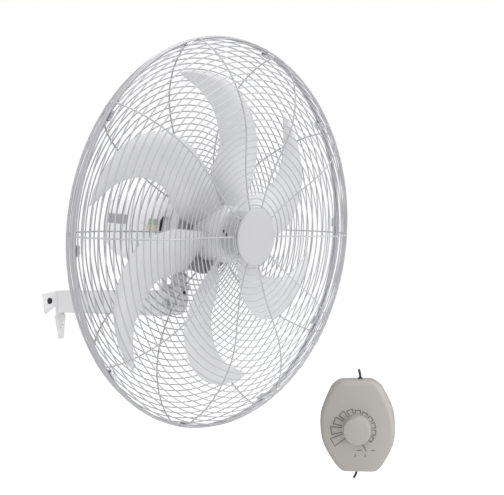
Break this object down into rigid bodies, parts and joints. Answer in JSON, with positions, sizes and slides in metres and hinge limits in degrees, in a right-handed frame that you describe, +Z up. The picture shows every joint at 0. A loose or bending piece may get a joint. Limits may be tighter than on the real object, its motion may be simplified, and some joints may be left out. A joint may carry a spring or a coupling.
{
  "type": "wall mounted fan",
  "caption": "Oscillating wall fan: dished wire guards round a scimitar-blade propeller on a tilting motor head, carried by a channel arm, with a separate wired rotary speed control.",
  "frame": {"origin": "middle of the bracket flange's back face, on the wall", "axes": "+Y into the wall, -Y the way the fan blows, +Z up, +X to the right seen from in front"},
  "size_m": [0.7037, 0.5631, 0.8067],
  "materials": {
    "bracket_paint": "light grey painted steel, satin",
    "white_paint": "white painted metal, satin",
    "wire_paint": "white powder coated wire",
    "blade_plastic": "light grey moulded plastic, soft gloss",
    "zinc": "zinc plated steel",
    "black_steel": "blackened steel",
    "core_plates": "stacked steel plates",
    "copper_wire": "enamelled copper winding",
    "bronze": "sintered bronze",
    "nylon": "natural nylon",
    "control_plastic": "warm grey moulded plastic, satin",
    "board": "circuit board",
    "black_rubber": "black cable sheath"
  },
  "bodies": {
    "bracket": {"wall_flange": "bracket_paint", "bracket_arm": "bracket_paint", "tilt_bolt": "zinc", "tilt_nut": "zinc", "control_base": "control_plastic", "control_cover": "control_plastic", "control_screw_1": "zinc", "control_screw_2": "zinc", "speed_board": "board", "potentiometer": "zinc", "lead_top": "black_rubber", "lead_bottom": "black_rubber", "gland_top": "black_rubber", "gland_bottom": "black_rubber"},
    "yoke": {"pivot_yoke": "white_paint", "pivot_bush": "bronze", "pivot_screw": "black_steel"},
    "head": {"motor_neck": "white_paint", "front_bell": "white_paint", "stator_core": "core_plates", "winding_front": "copper_wire", "winding_rear": "copper_wire", "rear_bell": "white_paint", "front_bearing": "bronze", "rear_bearing": "bronze", "through_screw_1": "zinc", "through_screw_2": "zinc", "gearbox_case": "nylon", "rear_cover": "white_paint", "rear_cover_screw": "zinc", "capacitor": "nylon", "motor_cable": "black_rubber", "rear_guard": "wire_paint", "guard_screw_1": "black_steel", "guard_screw_2": "black_steel", "guard_screw_3": "black_steel", "guard_screw_4": "black_steel", "front_guard": "wire_paint", "badge": "white_paint", "badge_retainer": "white_paint", "badge_screw": "zinc", "rim_clip_1": "zinc", "rim_clip_2": "zinc", "rim_clip_3": "zinc", "rim_clip_4": "zinc", "rim_clip_5": "zinc", "rim_clip_6": "zinc", "rim_clip_7": "zinc", "rim_clip_8": "zinc", "rim_clip_9": "zinc", "rim_clip_10": "zinc"},
    "rotor": {"rotor_shaft": "zinc", "rotor_core": "core_plates", "propeller": "blade_plastic", "grub_screw": "black_steel"},
    "crank": {"worm_wheel": "nylon", "crank_disc": "zinc"},
    "link": {"link_rod": "zinc"},
    "knob": {"control_knob": "control_plastic"}
  },
  "joints": [
    {"name": "tilt", "type": "hinge", "parent": "bracket", "child": "yoke", "pos_m": [0, -0.323, 0], "axis": [1, 0, 0], "range_deg": [-18, 18]},
    {"name": "oscillation", "type": "hinge", "parent": "yoke", "child": "head", "pos_m": [0, -0.34064, 0.03818], "axis": [0, -0.1184, 0.993], "range_deg": [-35, 35]},
    {"name": "fan_spin", "type": "hinge", "parent": "head", "child": "rotor", "pos_m": [0, -0.46195, 0.11798], "axis": [0, -0.993, -0.1184], "continuous": true},
    {"name": "crank_turn", "type": "hinge", "parent": "head", "child": "crank", "pos_m": [0.0185, -0.26698, 0.07073], "axis": [0, -0.1184, 0.993], "range_deg": [-63, 63]},
    {"name": "link_swing", "type": "hinge", "parent": "crank", "child": "link", "pos_m": [0.00219, -0.26003, 0.0635], "axis": [0, -0.1184, 0.993], "range_deg": [-57, 57]},
    {"name": "knob_turn", "type": "hinge", "parent": "bracket", "child": "knob", "pos_m": [0.30749, -0.5025, -0.262], "axis": [-0.866, -0.5, 0], "range_deg": [-270, 0]}
  ],
  "couplings": [
    {"joint": "crank_turn", "follows": "oscillation", "ratio": -1.7852},
    {"joint": "link_swing", "follows": "oscillation", "ratio": 1.6236}
  ]
}
